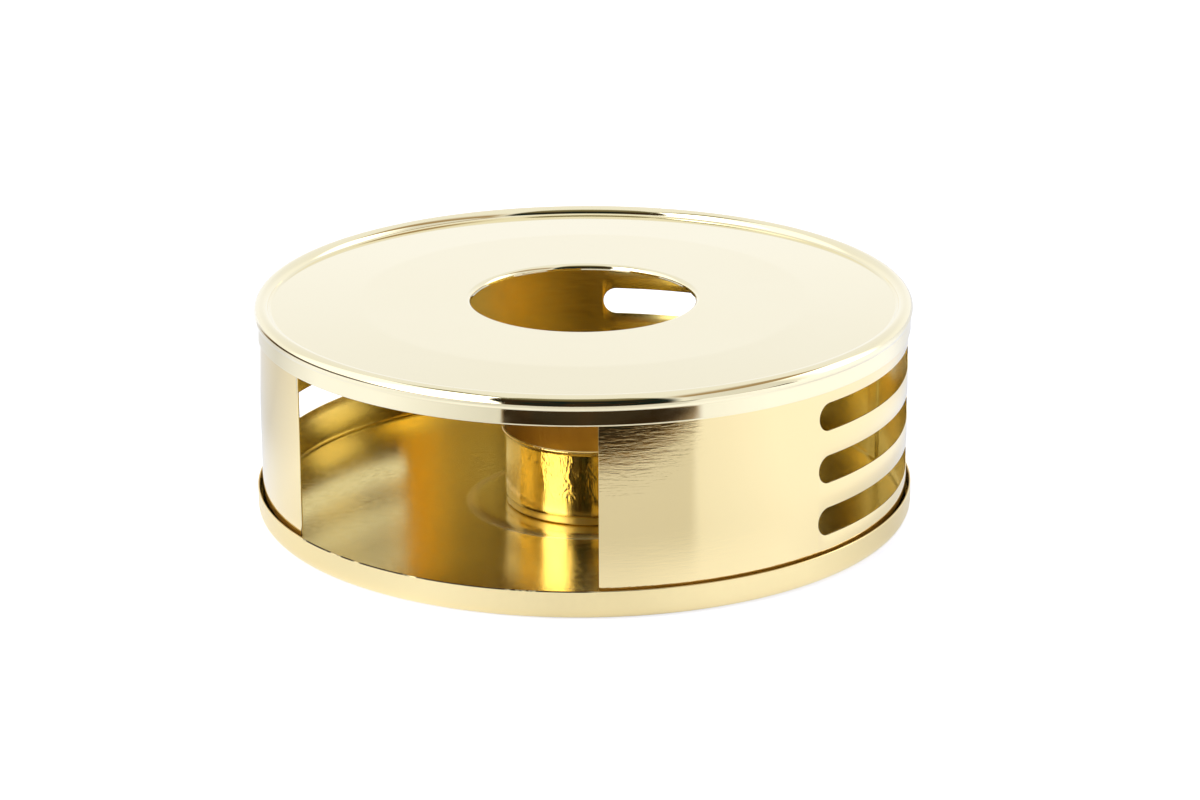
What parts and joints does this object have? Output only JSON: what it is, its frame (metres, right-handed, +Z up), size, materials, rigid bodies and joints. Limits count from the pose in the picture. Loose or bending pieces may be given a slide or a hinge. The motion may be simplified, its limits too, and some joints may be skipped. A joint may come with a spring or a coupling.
{
  "type": "teapot warmer",
  "caption": "Low round teapot warmer of gold sheet: lidded drum with a heat hole, slotted wall, wide front window, shallow base pan and a loose tealight cup inside.",
  "frame": {"origin": "on the table, under the middle of the drum", "axes": "+Z up, the middle of the window faces -Y, +X to the right of the window as seen from in front"},
  "size_m": [0.15, 0.15, 0.05],
  "materials": {
    "top_plate": "gold lacquer, near-mirror pressing",
    "wall_band": "gold lacquer, brushed round the drum",
    "base_pan": "gold lacquer, polished pressing",
    "tealight_cup": "thin drawn foil with draw wrinkles"
  },
  "bodies": {
    "root": {"top_plate": "top_plate", "wall_band": "wall_band", "base_pan": "base_pan", "tealight_cup": "tealight_cup"}
  },
  "joints": []
}
